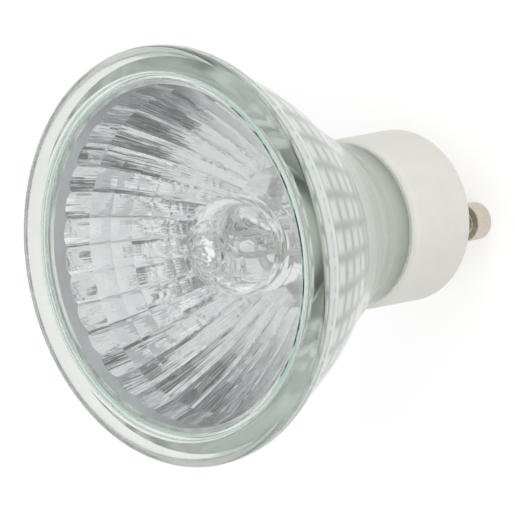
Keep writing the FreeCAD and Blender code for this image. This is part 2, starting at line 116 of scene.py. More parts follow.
# %% Patches and skin
patch_tree, given, result = new_tree("patches_and_skin", "ShaderNodeTree", {
    "Vector": "Vector",
    "Patch size": 3.0,
    "Grain size": 0.3,
    "Low": 0.0,
    "High": 1.0,
    "Skin depth": 0.01,
    "Skin strength": 0.2,
}, {"Mask": "Float", "Value": "Float", "Normal": "Vector"})
patch_scale = calc(patch_tree, "DIVIDE", 1 / MM, given["Patch size"])
grain_scale = calc(patch_tree, "DIVIDE", 1 / MM, given["Grain size"])
patches = place(patch_tree, "ShaderNodeTexNoise", {
    "Vector": given["Vector"], "Scale": patch_scale, "Detail": 3.0, "Roughness": 0.55,
})
grain = place(patch_tree, "ShaderNodeTexNoise", {
    "Vector": given["Vector"], "Scale": grain_scale, "Detail": 2.0,
})
GRAIN_SHARE = 0.35
both = calc(patch_tree, "MULTIPLY_ADD", grain.outputs["Fac"], GRAIN_SHARE, calc(
    patch_tree, "MULTIPLY", patches.outputs["Fac"], 1.0 - GRAIN_SHARE))
# Noise keeps near its middle, so only that part is stretched to the range that is asked for
for title, low, high in (("Mask", 0.0, 1.0), ("Value", given["Low"], given["High"])):
    ranged = place(patch_tree, "ShaderNodeMapRange", {
        "Value": both, "From Min": 0.35, "From Max": 0.65, "To Min": low, "To Max": high})
    patch_tree.links.new(ranged.outputs["Result"], result[title])
skin = place(patch_tree, "ShaderNodeBump", {
    "Strength": given["Skin strength"],
    "Distance": calc(patch_tree, "MULTIPLY", given["Skin depth"], MM),
    "Height": both,
})
patch_tree.links.new(skin.outputs["Normal"], result["Normal"])
print("shader group:", patch_tree.name, len(patch_tree.nodes), "nodes")

# %% Rings of a cutting or drawing tool
ring_tree, given, result = new_tree("tool_rings", "ShaderNodeTree", {
    "Vector": "Vector",
    "Spacing": 0.12,
    "Depth": 0.004,
    "Strength": 0.5,
}, {"Mask": "Float", "Normal": "Vector"})
parts = place(ring_tree, "ShaderNodeSeparateXYZ", {"Vector": given["Vector"]}).outputs
# Distance from the axis plus height: rings on a face that is turned flat, and on one that is round
squares = calc(ring_tree, "MULTIPLY_ADD", parts["X"], parts["X"], calc(
    ring_tree, "MULTIPLY", parts["Y"], parts["Y"]))
across = calc(ring_tree, "ADD", calc(ring_tree, "SQRT", squares), parts["Z"])
along = place(ring_tree, "ShaderNodeCombineXYZ", {
    "X": calc(ring_tree, "DIVIDE", across, calc(ring_tree, "MULTIPLY", given["Spacing"], MM)),
})
marks = place(ring_tree, "ShaderNodeTexNoise", {
    "Vector": along.outputs["Vector"], "Scale": 1.0, "Detail": 3.0, "Roughness": 0.7,
})
mark_bump = place(ring_tree, "ShaderNodeBump", {
    "Strength": given["Strength"],
    "Distance": calc(ring_tree, "MULTIPLY", given["Depth"], MM),
    "Height": marks.outputs["Fac"],
})
ring_tree.links.new(marks.outputs["Fac"], result["Mask"])
ring_tree.links.new(mark_bump.outputs["Normal"], result["Normal"])
print("shader group:", ring_tree.name, len(ring_tree.nodes), "nodes")

# %% [markdown]
# ## Finishes
# Each finish is one Principled shader. Its plain values, such as the metal or the glass weight, sit on
# the shader's own sockets, and the groups above feed what changes over the surface.

# %% Start a finish
def new_finish(name, **values):
    material = bpy.data.materials.new(name)
    material.use_nodes = True
    tree = material.node_tree
    shader = tree.nodes["Principled BSDF"]
    for title, value in values.items():
        shader.inputs[title.replace("_", " ")].default_value = value
    place_of = place(tree, "ShaderNodeTexCoord").outputs["Object"]
    return material, tree, shader, place_of


def add_group(tree, group, values):
    return place(tree, "ShaderNodeGroup", values, node_tree=group).outputs


def blend(tree, factor, first, second):
    # One colour output from two, each a colour output or a plain colour
    node = place(tree, "ShaderNodeMix", {"Factor": factor}, data_type="RGBA")
    for index, colour in ((6, first), (7, second)):
        if isinstance(colour, bpy.types.NodeSocket):
            tree.links.new(colour, node.inputs[index])
        else:
            node.inputs[index].default_value = (*colour, 1)
    return node.outputs[2]


def patchy_finish(name, low, high, patch, grain, rough, skin, **values):
    # Colour from low to high, roughness and a light skin, all from the patches. Patch, grain and the
    # first value of skin, its depth, are in millimetres, and the second one is its strength
    material, tree, shader, where = new_finish(name, **values)
    out = add_group(tree, patch_tree, {
        "Vector": where, "Patch size": patch, "Grain size": grain, "Low": rough[0], "High": rough[1],
        "Skin depth": skin[0], "Skin strength": skin[1]})
    tree.links.new(blend(tree, out["Mask"], low, high), shader.inputs["Base Color"])
    tree.links.new(out["Value"], shader.inputs["Roughness"])
    tree.links.new(out["Normal"], shader.inputs["Normal"])
    return material, tree, shader


# %% [markdown]
# ### Clear materials
# Four things are clear: the pressed reflector, the flat front, the burner's quartz and the adhesive.
# Full transmission and each one's own IOR bend light as the real ones do. Glass looks green only where
# light goes a long way through it, at a rim or an edge, so the green is in the volume and not in the
# surface. A renderer that follows few paths leaves the inside dark, so lamps and sky pass nearly
# straight through.

# %% Glass
def absorb(tree, colour, density):
    # Light that goes a long way through the glass takes on its faint green
    volume = place(tree, "ShaderNodeVolumeAbsorption", {"Color": (*colour, 1), "Density": density})
    tree.links.new(volume.outputs["Volume"], tree.nodes["Material Output"].inputs["Volume"])


def let_light_in(tree, shader, share=0.85, cover=1.0):
    # To shadow and diffuse rays the surface is clear by this share. Cover is its alpha for all rays
    paths = place(tree, "ShaderNodeLightPath").outputs
    lighting = calc(tree, "MAXIMUM", paths["Is Shadow Ray"], paths["Is Diffuse Ray"])
    clear = calc(tree, "MULTIPLY_ADD", lighting, -share, 1.0)
    tree.links.new(calc(tree, "MULTIPLY", clear, cover), shader.inputs["Alpha"])


def glass_finish(name, low, high, patch, grain, rough, skin, ior, absorbed=None):
    material, tree, shader = patchy_finish(
        name, low, high, patch, grain, rough, skin, IOR=ior, Transmission_Weight=1.0)
    if absorbed:
        absorb(tree, *absorbed)
    let_light_in(tree, shader)
    return material


pressed_glass = glass_finish(
    "pressed_glass", (0.77, 0.785, 0.77), (0.84, 0.85, 0.835), patch=4.0, grain=1.2,
    rough=(0.06, 0.12), skin=(0.02, 0.2), ior=1.47, absorbed=((0.64, 0.75, 0.67), 10.0))
front_glass_finish = glass_finish(
    "front_glass", (0.99, 0.995, 0.995), (1.0, 1.0, 1.0), patch=6.0, grain=2.0,
    rough=(0.0, 0.006), skin=(0.002, 0.1), ior=1.52, absorbed=((0.35, 0.72, 0.62), 16.0))
quartz_finish = glass_finish(
    "quartz", (0.98, 0.98, 0.98), (1.0, 1.0, 1.0), patch=1.8, grain=0.5,
    rough=(0.0, 0.03), skin=(0.02, 0.3), ior=1.46)
adhesive_finish = glass_finish(
    "adhesive", (0.9, 0.95, 0.93), (0.95, 0.97, 0.96), patch=1.5, grain=0.5,
    rough=(0.05, 0.12), skin=(0.01, 0.15), ior=1.41)
for finish in (pressed_glass, front_glass_finish, quartz_finish, adhesive_finish):
    print("clear finish:", finish.name, len(finish.node_tree.nodes), "nodes")

# %% [markdown]
# ### The mirror film
# The coating is far thinner than a mesh can be, so it is a finish on faces of the glass and no piece
# of its own. From inside the bowl it is a mirror. From behind, through the glass, it is a pale satin
# sheet with painted shade that darkens it towards the edges of each tile. One material does both,
# and Backfacing tells the sides apart.
#
# The painted shade at the tile edges and the fine lines of the press tool are worked out from the turn
# round the axis and the height, so they stay in step with the flutes. The mirror and the satin band
# above it both use them, so they are a group.

# %% Painted shade at the tile edges, and press lines
FLUTES = 36
BACK_ROW, BACK_LINE = 2.45, 46.8
CONE_TOP = (37.5, 39.5)
LINES_PER_FLUTE, LINES_PER_ROW = 9.0, 0.25


def from_middle(tree, value):
    # 0 in the middle of each step of 1, and 1 at both of its ends. The 50 keeps the sum above 0
    inside = calc(tree, "SUBTRACT", calc(tree, "FRACT", calc(tree, "ADD", value, 50.0)), 0.5)
    return calc(tree, "MULTIPLY", calc(tree, "ABSOLUTE", inside), 2.0)


def soft_step(tree, value, low, high):
    return place(tree, "ShaderNodeMapRange", {
        "Value": value, "From Min": low, "From Max": high,
    }, interpolation_type="SMOOTHSTEP").outputs["Result"]


film_tree, given, result = new_tree("painted_edge_shade_and_press_lines", "ShaderNodeTree", {
    "Vector": "Vector",
    "Normal": "Vector",
    "Line depth": 0.01,
}, {"Painted edge shade": "Float", "Normal": "Vector"})
at = place(film_tree, "ShaderNodeSeparateXYZ", {"Vector": given["Vector"]}).outputs
turn = calc(film_tree, "MULTIPLY", calc(film_tree, "ARCTAN2", at["Y"], at["X"]), FLUTES / (2 * math.pi))
level = calc(film_tree, "DIVIDE", calc(
    film_tree, "SUBTRACT", at["Z"], BACK_LINE * MM), BACK_ROW * MM)
# Painted shade: 0 in the middle of each tile and 1 at its edges, where the back is drawn darker
edges = calc(film_tree, "MAXIMUM", from_middle(film_tree, turn), from_middle(film_tree, level))
tile_edge_shade = soft_step(film_tree, edges, 0.3, 1.0)
above_cone = soft_step(film_tree, at["Z"], CONE_TOP[0] * MM, CONE_TOP[1] * MM)
lines = place(film_tree, "ShaderNodeTexNoise", {"Vector": place(film_tree, "ShaderNodeCombineXYZ", {
    "X": calc(film_tree, "MULTIPLY", turn, LINES_PER_FLUTE),
    "Y": calc(film_tree, "MULTIPLY", level, LINES_PER_ROW),
}).outputs["Vector"], "Scale": 1.0, "Detail": 1.0, "Roughness": 0.5})
line_bump = place(film_tree, "ShaderNodeBump", {
    "Strength": 1.0, "Distance": calc(film_tree, "MULTIPLY", given["Line depth"], MM),
    "Height": lines.outputs["Fac"], "Normal": given["Normal"]})
film_tree.links.new(calc(film_tree, "MULTIPLY", tile_edge_shade, above_cone), result["Painted edge shade"])
film_tree.links.new(line_bump.outputs["Normal"], result["Normal"])
print("shader group:", film_tree.name, len(film_tree.nodes), "nodes, cells of", 360 / FLUTES, "degrees")


# %% Mirror film with a pale back
def add_back(tree, shader, back):
    # The back takes another colour. The output is 1 where the back is seen
    behind = place(tree, "ShaderNodeNewGeometry").outputs["Backfacing"]
    front = shader.inputs["Base Color"].links[0].from_socket
    tree.links.new(blend(tree, behind, front, back), shader.inputs["Base Color"])
    return behind


def coating(name, low, high, rough, edge_shade_depth, line_depth):
    # A bright film: a mirror in front, and from behind a pale satin sheet with painted shade towards
    # each tile's edges
    material, tree, shader = patchy_finish(
        name, low, high, patch=2.5, grain=0.4, rough=rough, skin=(0.001, 0.1), Metallic=1.0)
    pattern = add_group(tree, film_tree, {
        "Vector": place(tree, "ShaderNodeTexCoord").outputs["Object"], "Line depth": line_depth,
        "Normal": shader.inputs["Normal"].links[0].from_socket})
    tree.links.new(pattern["Normal"], shader.inputs["Normal"])
    # Painted shade: the back darkens towards each tile's edges, as far as the edge shade depth says
    cells = calc(tree, "MULTIPLY", pattern["Painted edge shade"], edge_shade_depth)
    behind = add_back(tree, shader, blend(tree, cells, (0.92, 0.94, 0.92), (0.5, 0.57, 0.52)))
    # The back is also satin, with a roughness of 0.5, and only part metal
    front = shader.inputs["Roughness"].links[0].from_socket
    lift = calc(tree, "SUBTRACT", 0.5, front)
    tree.links.new(calc(tree, "MULTIPLY_ADD", behind, lift, front), shader.inputs["Roughness"])
    tree.links.new(calc(tree, "MULTIPLY_ADD", behind, -0.7, 1.0), shader.inputs["Metallic"])
    let_light_in(tree, shader, share=0.7)
    return material


mirror_film = coating("mirror_film", (0.78, 0.79, 0.79), (0.84, 0.85, 0.85),
                      rough=(0.0, 0.006), edge_shade_depth=1.0, line_depth=0.016)
band_film = coating("mirror_band", (0.82, 0.85, 0.89), (0.9, 0.92, 0.95),
                    rough=(0.3, 0.45), edge_shade_depth=0.0, line_depth=0.002)
print("films:", mirror_film.name, band_film.name)

# %% Wash in the neck's bore, with painted reflection streaks
bore_coat, tree, shader = patchy_finish(
    "bore_coat", (0.5, 0.52, 0.53), (0.85, 0.86, 0.87),
    patch=1.1, grain=0.5, rough=(0.5, 0.7), skin=(0.05, 0.4))
# Painted reflection: the light and grey patches are drawn out along the axis into streaks, which stand
# in for the streaky reflections in the bore
painted_reflection_streaks = place(tree, "ShaderNodeMapping", {
    "Vector": place(tree, "ShaderNodeTexCoord").outputs["Object"], "Scale": (1.0, 1.0, 0.15)})
tree.links.new(painted_reflection_streaks.outputs["Vector"], tree.nodes["Group"].inputs["Vector"])
behind = add_back(tree, shader, (0.6, 0.64, 0.575))
# From inside the bore the wash is thin, and light comes through it
let_light_in(tree, shader, cover=calc(tree, "MULTIPLY_ADD", behind, 0.4, 0.6))
print("wash:", len(tree.nodes), "nodes")

# %% [markdown]
# ### Ceramic, cement and metals
# The cap is unglazed fired clay, off-white and satin, with a fine grain. The cements are rougher. The
# pins were turned and plated, so their fine rings run round each pin's own axis, and the pattern has
# to be moved there. The leads and foils are drawn or rolled and duller.

# %% Ceramic and cement
ceramic_finish = patchy_finish(
    "fired_ceramic", (0.725, 0.72, 0.66), (0.765, 0.76, 0.705),
    patch=2.2, grain=0.12, rough=(0.38, 0.55), skin=(0.012, 0.35), IOR=1.5)[0]
cement_finish = patchy_finish(
    "lamp_cement", (0.82, 0.84, 0.8), (0.9, 0.91, 0.88),
    patch=0.9, grain=0.12, rough=(0.75, 0.95), skin=(0.08, 0.7))[0]
# The cement round the burner's foot is a lighter copy of the cement: painted light that makes it bright
# under the clear glass, where little light reaches it in the render
cement_with_painted_light = patchy_finish(
    "cement_with_painted_light", (0.93, 0.94, 0.93), (0.98, 0.98, 0.975),
    patch=0.9, grain=0.12, rough=(0.75, 0.95), skin=(0.05, 0.5))[0]
print("ceramic and cement:", ceramic_finish.name, cement_finish.name, cement_with_painted_light.name)


# %% Metals
def metal_finish(name, low, high, rough, spacing, depth, axis_at=0.0, metallic=1.0):
    # Turned or drawn metal: the tool's rings run round the piece's own axis
    material, tree, shader, where = new_finish(name, Metallic=metallic)
    centred = place(tree, "ShaderNodeMapping", {"Vector": where, "Location": (-axis_at, 0.0, 0.0)})
    rings = add_group(tree, ring_tree, {
        "Vector": centred.outputs["Vector"], "Spacing": spacing, "Depth": depth, "Strength": 0.6})
    worn = add_group(tree, patch_tree, {
        "Vector": where, "Patch size": 1.2, "Grain size": 0.2, "Low": rough[0], "High": rough[1]})
    shade = calc(tree, "MULTIPLY_ADD", rings["Mask"], 0.5, calc(tree, "MULTIPLY", worn["Mask"], 0.5))
    tree.links.new(blend(tree, shade, low, high), shader.inputs["Base Color"])
    tree.links.new(worn["Value"], shader.inputs["Roughness"])
    tree.links.new(rings["Normal"], shader.inputs["Normal"])
    return material


PIN_X = 5.0
PIN_SIGNS = {"left": -1, "right": 1}
pin_finishes = {
    side: metal_finish(f"pin_metal_{side}", (0.56, 0.5, 0.43), (0.72, 0.66, 0.575),
                       (0.22, 0.4), 0.14, 0.01, sign * PIN_X * MM)
    for side, sign in PIN_SIGNS.items()
}
weld_finish = metal_finish("weld", (0.38, 0.34, 0.3), (0.58, 0.54, 0.5), (0.35, 0.6), 0.5, 0.03)
tungsten_finish = metal_finish(
    "tungsten", (0.72, 0.71, 0.7), (0.84, 0.83, 0.82), (0.35, 0.5), 0.1, 0.005, metallic=0.5)
foil_finish = metal_finish(
    "molybdenum", (0.82, 0.82, 0.81), (0.9, 0.9, 0.89), (0.45, 0.6), 0.2, 0.005, metallic=0.4)
wire_finish = metal_finish(
    "nickel_wire", (0.6, 0.59, 0.56), (0.72, 0.71, 0.68), (0.25, 0.4), 0.15, 0.005)
print("materials:", len(bpy.data.materials))

# %% [markdown]
# ## Sections
# Most of this lamp is turned or pressed round one axis. A section is the outline on one side of that
# axis, as radius and height in millimetres. Corners may be rounded, and a rounded corner gets a short
# support on each side, so that smooth shading bends only where the glass does.

# %% Draw a section
SUPPORT = 0.08


def line_arc(start, end, radius, steps):
    # Points of an arc from start to end whose centre is on the left of the way from one to the other
    start, end = np.array(start, float), np.array(end, float)
    chord = end - start
    reach = math.sqrt(radius ** 2 - (np.linalg.norm(chord) / 2) ** 2)
    centre = (start + end) / 2 + np.array((-chord[1], chord[0])) / np.linalg.norm(chord) * reach
    first = math.atan2(*(start - centre)[::-1])
    turn = (math.atan2(*(end - centre)[::-1]) - first) % (2 * math.pi)
    angles = first + turn * np.arange(1, steps) / steps
    return [tuple(centre + radius * np.array((math.cos(a), math.sin(a)))) for a in angles]


def round_corner(before, corner, after, radius, steps):
    # The arc that rounds a corner, with a support point on the straight run at each side
    a, c, b = (np.array(p, float) for p in (before, corner, after))
    u, v = (a - c) / np.linalg.norm(a - c), (b - c) / np.linalg.norm(b - c)
    half = math.acos(max(-1.0, min(1.0, float(u @ v)))) / 2
    setback = radius / math.tan(half)
    middle = c + (u + v) / np.linalg.norm(u + v) * radius / math.sin(half)
    first, last = c + u * setback - middle, c + v * setback - middle
    points = [c + u * (setback + SUPPORT)]
    total = math.acos(max(-1.0, min(1.0, float(first @ last) / radius ** 2)))
    for step in range(steps + 1):
        t = step / steps
        weights = math.sin((1 - t) * total), math.sin(t * total)
        points.append(middle + (first * weights[0] + last * weights[1]) / math.sin(total))
    return points + [c + v * (setback + SUPPORT)]


def plain_rows(points):
    # Rows of bare glass or metal with no crease
    return [(*point, 0, 0, 0) for point in points]


def outline(corners, steps=4, closed=False):
    # Rows of (radius, height, fluted, coat, crease) from corners of (radius, height, rounding)
    rows = []
    count = len(corners)
    for index, corner in enumerate(corners):
        if len(corner) > 2 and corner[2] and (closed or 0 < index < count - 1):
            around = (corners[index - 1][:2], corner[:2], corners[(index + 1) % count][:2])
            rows += plain_rows(round_corner(*around, corner[2], steps))
        else:
            rows.append((*corner[:2], 0, 0, 1))
    return rows + rows[:1] if closed else rows


print("a quarter round has", len(round_corner((0, 1), (0, 0), (1, 0), 0.2, 4)), "points")

# %% [markdown]
# ## Turning a section
# A Geometry Nodes tree turns a section round the axis. It bends a flat grid: one way along the grid
# is the way round, the other is the section. On rows that are marked as fluted it also presses the
# flutes: flat from corner to corner, slightly crowned, with fine ridges that run down each flute.
# One row is special: there the flutes run out into a smooth band, which leaves a scalloped line.
#
# A row also carries the number of its coat, 0 for bare glass. A face has the mean of its two rows, and
# a coat takes the faces above its limit, the later coats over the earlier ones.

# %% Coats
FILM, BAND, BORE = 2, 3, 5
COAT_LIMITS = {"Film finish": 1.6, "Band finish": 2.6, "Bore finish": 3.2}
print("film meets band:", (FILM + BAND) / 2, "band meets bare glass:", BAND / 2)

# %% The turning tree
turning, given, result = new_tree("turn_section", "GeometryNodeTree", {
    "Section": "Geometry",
    "Columns": 96,
    "Axis at": 0.0,
    "Flutes": 36,
    "Ridges": 10,
    "Crown": 0.0,
    "Squareness": 2.0,
    "Ridge height": 0.0,
    "Edge radius": 1.0,
    "Edge height": 1.0,
    "Edge slope": 0.5,
    "Band radius": 1.0,
    "Band slope": 0.0,
    "Finish": "Material",
    "Film finish": "Material",
    "Band finish": "Material",
    "Bore finish": "Material",
}, {"Geometry": "Geometry"})


def do(operation, *values):
    # Arithmetic in this tree
    return calc(turning, operation, *values)


section_rows = place(turning, "GeometryNodeAttributeDomainSize", {"Geometry": given["Section"]})
row_count = section_rows.outputs["Point Count"]
flat_grid = place(turning, "GeometryNodeMeshGrid", {
    "Size X": 1.0, "Size Y": 1.0,
    "Vertices X": do("ADD", given["Columns"], 1), "Vertices Y": row_count,
}).outputs["Mesh"]
on_grid = place(turning, "ShaderNodeSeparateXYZ", {
    "Vector": place(turning, "GeometryNodeInputPosition").outputs[0]}).outputs
row = do("ROUND", do("MULTIPLY", do("ADD", on_grid["Y"], 0.5), do("SUBTRACT", row_count, 1)))
column = do("ROUND", do("MULTIPLY", do("ADD", on_grid["X"], 0.5), given["Columns"]))


def from_section(name=None):
    # The place or a named value of the section's point in this row
    if name is None:
        kind, value = "FLOAT_VECTOR", place(turning, "GeometryNodeInputPosition").outputs[0]
    else:
        kind = "FLOAT"
        value = place(turning, "GeometryNodeInputNamedAttribute", {
            "Name": name}, data_type=kind).outputs[0]
    return place(turning, "GeometryNodeSampleIndex", {
        "Geometry": given["Section"], "Value": value, "Index": row,
    }, data_type=kind, domain="POINT").outputs[0]


section_place = place(turning, "ShaderNodeSeparateXYZ", {"Vector": from_section()}).outputs
# A row's fluted value is 0 where it is round, 1 on the flutes and 2 on the scalloped line
fluted = from_section("fluted")
is_scallop = do("GREATER_THAN", fluted, 1.5)
is_fluted = do("GREATER_THAN", fluted, 0.5)
print("turning tree so far:", len(turning.nodes), "nodes")

# %% The flute's cross-section
per_flute = do("DIVIDE", given["Columns"], given["Flutes"])
# Share goes from 0 to 1 across a flute, and u from -1 to 1. The hair more keeps a corner at 0
share = do("FRACT", do("DIVIDE", do("ADD", column, 0.0001), per_flute))
u = do("MULTIPLY_ADD", share, 2.0, -1.0)
half_angle = do("DIVIDE", math.pi, given["Flutes"])
flat = do("DIVIDE", do("COSINE", half_angle), do("COSINE", do("MULTIPLY", half_angle, u)))
bulge = do("MULTIPLY", given["Crown"], do(
    "SUBTRACT", 1.0, do("POWER", do("ABSOLUTE", u), given["Squareness"])))
# Two waves of unlike length make ridges that aren't all the same
ridge_angle = do("MULTIPLY", do("MULTIPLY", share, given["Ridges"]), 2 * math.pi)
slow_ridge = do("SINE", do("MULTIPLY_ADD", ridge_angle, 0.6, 0.8))
uneven = do("ADD", do("SINE", ridge_angle), slow_ridge)
ridge = do("MULTIPLY", given["Ridge height"], uneven)
pressed = do("SUBTRACT", do("SUBTRACT", flat, bulge), ridge)
factor = do("MULTIPLY_ADD", is_fluted, do("SUBTRACT", pressed, 1.0), 1.0)
print("a flute of", FLUTES, "is flat to", round(math.cos(math.pi / FLUTES), 4), "of its corner radius")

# %% Where the flutes meet the band
# Both are straight lines up from the mirror's edge, and they cross after this climb
climb = do("DIVIDE", do(
    "SUBTRACT", given["Band radius"], do("MULTIPLY", given["Edge radius"], pressed)
), do("SUBTRACT", do("MULTIPLY", given["Edge slope"], pressed), given["Band slope"]))
scallop_radius = do("MULTIPLY_ADD", climb, given["Band slope"], given["Band radius"])
scallop_height = do("ADD", climb, given["Edge height"])


def choose(pick, there, here):
    # There where pick is 1, and here where it is 0
    return do("MULTIPLY_ADD", pick, do("SUBTRACT", there, here), here)


radius = choose(is_scallop, scallop_radius, do("MULTIPLY", section_place["X"], factor))
height = choose(is_scallop, scallop_height, section_place["Z"])
angle = do("MULTIPLY", do("DIVIDE", column, given["Columns"]), 2 * math.pi)
turned_place = place(turning, "ShaderNodeCombineXYZ", {
    "X": do("MULTIPLY_ADD", radius, do("COSINE", angle), given["Axis at"]),
    "Y": do("MULTIPLY", radius, do("SINE", angle)),
    "Z": height,
}).outputs["Vector"]

# %% Sharp lines, seam and finish
smooth = place(turning, "GeometryNodeSetShadeSmooth", {
    0: flat_grid, "Shade Smooth": True}, domain="FACE").outputs[0]
ends = place(turning, "GeometryNodeInputMeshEdgeVertices").outputs
gap = place(turning, "ShaderNodeSeparateXYZ", {"Vector": place(turning, "ShaderNodeVectorMath", {
    0: ends["Position 1"], 1: ends["Position 2"]}, operation="SUBTRACT").outputs[0]}).outputs
along_ring = do("LESS_THAN", do("ABSOLUTE", gap["Y"]), 1e-6)
creased = do("GREATER_THAN", from_section("crease"), 0.9)
ring_sharp = do("MULTIPLY", along_ring, creased)
at_side = do("GREATER_THAN", do("ABSOLUTE", u), 0.999)
side_sharp = do("MULTIPLY", do("SUBTRACT", 1.0, along_ring), do(
    "MULTIPLY", at_side, do("GREATER_THAN", fluted, 0.9)))
sharp = do("MAXIMUM", ring_sharp, side_sharp)
marked = place(turning, "GeometryNodeSetShadeSmooth", {
    0: smooth, "Selection": sharp, "Shade Smooth": False}, domain="EDGE").outputs[0]
filmed = place(turning, "GeometryNodeStoreNamedAttribute", {
    "Geometry": marked, "Name": "film", "Value": from_section("film"),
}, data_type="FLOAT", domain="POINT").outputs[0]
bent = place(turning, "GeometryNodeSetPosition", {
    "Geometry": filmed, "Position": turned_place}).outputs[0]
closed_seam = place(turning, "GeometryNodeMergeByDistance", {
    "Geometry": bent, "Distance": 0.0004 * MM}).outputs[0]
real = place(turning, "GeometryNodeRealizeInstances", {"Geometry": closed_seam}).outputs[0]
film_value = place(
    turning, "GeometryNodeInputNamedAttribute", {"Name": "film"}, data_type="FLOAT").outputs[0]
last = place(turning, "GeometryNodeSetMaterial", {
    "Geometry": real, "Material": given["Finish"]}).outputs[0]
for title, limit in COAT_LIMITS.items():
    last = place(turning, "GeometryNodeSetMaterial", {
        "Geometry": last, "Selection": do("GREATER_THAN", film_value, limit),
        "Material": given[title]}).outputs[0]
turning.links.new(last, result["Geometry"])
print("turning tree:", len(turning.nodes), "nodes")

# %% [markdown]
# A tree is used through a modifier. Its inputs are set by their identifiers before the object is
# first evaluated. Then the result becomes a plain mesh and the modifier goes.

# %% Turn a section into a piece
def link_piece(name, mesh):
    piece = bpy.data.objects.new(name, mesh)
    scene.collection.objects.link(piece)
    return piece


def run_tree(source, name, tree, values):
    modifier = source.modifiers.new("make", "NODES")
    modifier.node_group = tree
    for item in tree.interface.items_tree:
        if item.in_out == "INPUT" and item.name in values:
            modifier[item.identifier] = values[item.name]
    graph = bpy.context.evaluated_depsgraph_get()
    mesh = bpy.data.meshes.new_from_object(
        source.evaluated_get(graph), preserve_all_data_layers=True, depsgraph=graph)
    mesh.name = name
    bpy.data.objects.remove(source)
    # Set Material can leave an empty slot in front of the ones in use
    for number in reversed(range(len(mesh.materials))):
        if mesh.materials[number] is None:
            mesh.materials.pop(index=number)
    return mesh


def signed_volume(mesh):
    mesh.calc_loop_triangles()
    corners = np.zeros(len(mesh.loop_triangles) * 3, int)
    mesh.loop_triangles.foreach_get("vertices", corners)
    places = np.zeros(len(mesh.vertices) * 3)
    mesh.vertices.foreach_get("co", places)
    a, b, c = places.reshape(-1, 3)[corners.reshape(-1, 3)].transpose(1, 0, 2)
    return float(np.einsum("ij,ij->", a, np.cross(b, c)) / 6)


def face_outwards(mesh):
    if signed_volume(mesh) < 0:
        mesh.flip_normals()
    volume = round(signed_volume(mesh) / MM ** 3, 1)
    print(mesh.name, len(mesh.loop_triangles), "triangles,", volume, "mm3")


def turn_piece(name, rows, columns, finish, coats=(), **flutes):
    line = bpy.data.meshes.new(f"{name}_section")
    line.from_pydata([(r * MM, 0.0, z * MM) for r, z, *_ in rows], [], [])
    for number, title in enumerate(("fluted", "film", "crease"), start=2):
        layer = line.attributes.new(title, "FLOAT", "POINT")
        layer.data.foreach_set("value", [float(entry[number]) for entry in rows])
    values = {"Columns": columns, "Finish": finish}
    values.update(zip(COAT_LIMITS, coats or (finish,) * 3))
    values.update({title.replace("_", " "): value for title, value in flutes.items()})
    mesh = run_tree(link_piece(f"{name}_line", line), name, turning, values)
    face_outwards(mesh)
    return link_piece(name, mesh)


# %% [markdown]
# ## The reflector
# One piece of pressed glass: a flat rim with a recess for the front glass, a bowl, a neck, and a plug
# that is cemented into the cap. Its inner face is a parabola of small tiles in 36 flutes and nine
# rows, with a mirror coating that is only a film, so here it is a finish on those faces. All of it
# follows one rule round one axis, so the turning tree makes it in one go, inside and outside.

# %% The reflector's measures
PLUG_FOOT, NECK_SHOULDER, CREASE = 15.0, 20.75, 24.4
NECK_BORE, PLUG_RADIUS, NECK_RADIUS = 7.2, 9.2, 10.7
BOWL_END = (16.9, 36.593)
LIP_FOOT, BOWL_CURVE = (23.95, 50.9), 47.0
# The face is a hair lower than the solid's, so that rounding never puts it out of the box
RIM_RADIUS, FACE = 25.35, 53.9997
RIM_LEVELS = (52.6, 52.7, 53.32, 53.4)
LAND_RADIUS = 24.75
RECESS_MOUTH, RECESS_FLOOR, SEAT, SEAT_INNER = 22.3, 21.65, 52.05, 20.7
HOLE_RADIUS, MIRROR_HOLE, MIRROR_RADIUS = 9.0, 31.9, 19.85
FOCAL_LENGTH = 5.25
TILE_ROWS = 8
EDGE_SLOPE = 0.29
BAND_SLOPE = 0.1 / (FACE - MIRROR_HOLE)


def mirror_height(r):
    return MIRROR_HOLE + (r ** 2 - HOLE_RADIUS ** 2) / (4 * FOCAL_LENGTH)


MIRROR_EDGE = mirror_height(MIRROR_RADIUS)
print("mirror from", MIRROR_HOLE, "to", round(MIRROR_EDGE, 2), "mm up")

# %% The reflector's outside and recess
outside = outline((
    (NECK_BORE, PLUG_FOOT),
    (PLUG_RADIUS, PLUG_FOOT),
    (PLUG_RADIUS, NECK_SHOULDER, 0.25),
    (NECK_RADIUS, NECK_SHOULDER, 0.45),
    (NECK_RADIUS, CREASE, 0.9),
    BOWL_END,
))[:-1]
outside += plain_rows([BOWL_END, *line_arc(BOWL_END, LIP_FOOT, BOWL_CURVE, 7)])
outside.append((*LIP_FOOT, 0, 0, 1))
rim = [(RIM_RADIUS, level) for level in RIM_LEVELS]
outside += plain_rows(line_arc(LIP_FOOT, rim[0], 2.2, 5) + rim)
outside += plain_rows(line_arc(rim[-1], (LAND_RADIUS, FACE), 0.6, 5))
outside += plain_rows([(LAND_RADIUS, FACE), (LAND_RADIUS - 0.1, FACE)])
recess = outline((
    (LAND_RADIUS - 0.1, FACE),
    (RECESS_MOUTH, FACE, 0.12),
    (RECESS_FLOOR, SEAT, 0.08),
    (SEAT_INNER, SEAT),
))[1:-1]
print("outside rows:", len(outside), "recess rows:", len(recess))

# %% The tiles
# The middle of a tile stands off the straight line by this share of the tile's length
TILE_CROWN = -0.002


